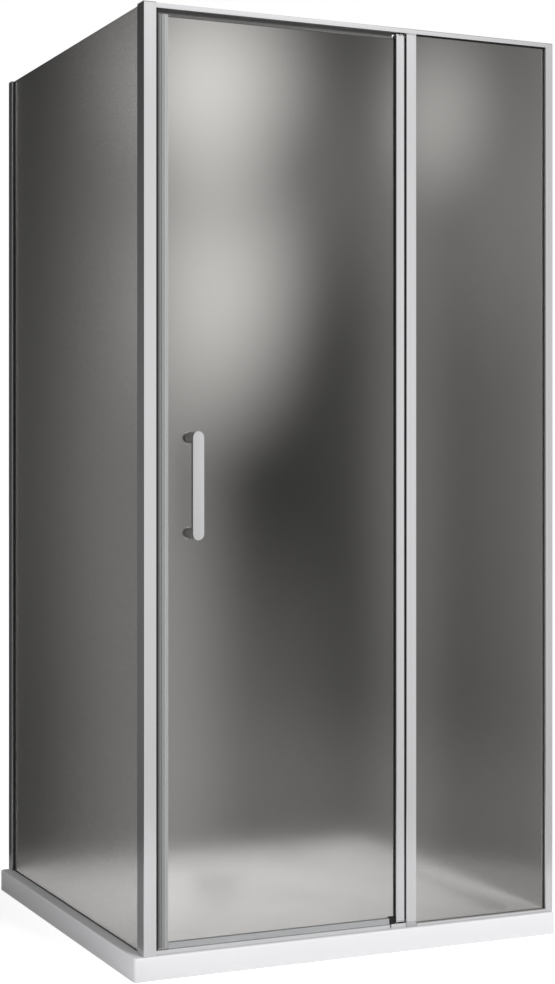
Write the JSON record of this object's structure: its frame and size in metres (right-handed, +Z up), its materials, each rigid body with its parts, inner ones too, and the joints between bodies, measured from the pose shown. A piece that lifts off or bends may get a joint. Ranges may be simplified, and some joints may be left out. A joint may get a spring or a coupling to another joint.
{
  "type": "corner shower enclosure",
  "caption": "Corner shower enclosure: low white tray, frosted smoky side pane, outward pivot door with bar handle and fixed front pane in bright aluminium profiles.",
  "frame": {"origin": "centre of the tray's underside, on the floor", "axes": "+Z up; +X right along the front, from the corner post to the right wall; +Y from the front to the back wall"},
  "size_m": [1, 0.932, 1.975],
  "materials": {
    "white_acrylic": "glossy sanitary white",
    "base_board": "raw chipboard",
    "bright_aluminium": "bright anodised, fine lengthwise grain",
    "polished_chrome": "polished",
    "steel": "turned stainless",
    "frosted_glass": "smoky grey, acid-etched satin",
    "clear_vinyl": "translucent soft vinyl",
    "grey_vinyl": "soft dark grey vinyl",
    "black_rubber": "matt",
    "grey_plastic": "moulded, satin",
    "white_plastic": "moulded",
    "magnet": "bonded ferrite strip"
  },
  "bodies": {
    "frame": {"shower_tray": "white_acrylic", "base_board": "base_board", "waste_gasket": "black_rubber", "waste_flange": "polished_chrome", "waste_clamp_ring": "white_plastic", "corner_post": "bright_aluminium", "corner_post_cap": "grey_plastic", "strike_strip": "black_rubber", "strike_magnet": "magnet", "front_wall_profile": "bright_aluminium", "front_wall_channel": "bright_aluminium", "front_profile_cap": "grey_plastic", "side_wall_profile": "bright_aluminium", "side_wall_channel": "bright_aluminium", "side_profile_cap": "grey_plastic", "side_glass": "frosted_glass", "side_bottom_seal": "black_rubber", "side_post_gasket": "black_rubber", "side_wall_gasket": "black_rubber", "header_rail": "bright_aluminium", "header_post_bracket": "steel", "door_stop_seal": "grey_vinyl", "threshold_rail": "bright_aluminium", "fixed_sill": "bright_aluminium", "mullion": "bright_aluminium", "mullion_foot": "grey_plastic", "mullion_cap": "grey_plastic", "hinge_gap_seal": "black_rubber", "fixed_glass": "frosted_glass", "fixed_mullion_gasket": "clear_vinyl", "fixed_wall_gasket": "clear_vinyl", "fixed_top_gasket": "black_rubber", "fixed_bottom_gasket": "clear_vinyl", "lower_pivot_block": "bright_aluminium", "lower_pivot_bush": "black_rubber", "upper_pivot_block": "grey_plastic", "upper_pivot_bush": "black_rubber"},
    "door": {"door_glass": "frosted_glass", "hinge_stile": "bright_aluminium", "stile_bottom_cap": "bright_aluminium", "stile_top_cap": "bright_aluminium", "stile_gasket": "black_rubber", "lower_pivot_pin": "steel", "upper_pivot_pin": "steel", "magnet_seal": "clear_vinyl", "magnet_strip": "magnet", "drip_seal": "clear_vinyl", "door_corner_clip": "black_rubber", "handle_bar": "polished_chrome", "handle_post_upper": "polished_chrome", "handle_washer_upper": "clear_vinyl", "handle_cap_upper": "polished_chrome", "handle_screw_upper": "steel", "handle_post_lower": "polished_chrome", "handle_washer_lower": "clear_vinyl", "handle_cap_lower": "polished_chrome", "handle_screw_lower": "steel"},
    "drain_insert": {"drain_cover": "polished_chrome", "hair_basket": "grey_plastic"}
  },
  "joints": [
    {"name": "door_swing", "type": "hinge", "parent": "frame", "child": "door", "pos_m": [0.1182, -0.4342, 0.06], "axis": [0, 0, 1], "range_deg": [0, 105]},
    {"name": "drain_lift", "type": "slide", "parent": "frame", "child": "drain_insert", "axis": [0, 0, 1], "range_m": [0, 0.08]}
  ]
}
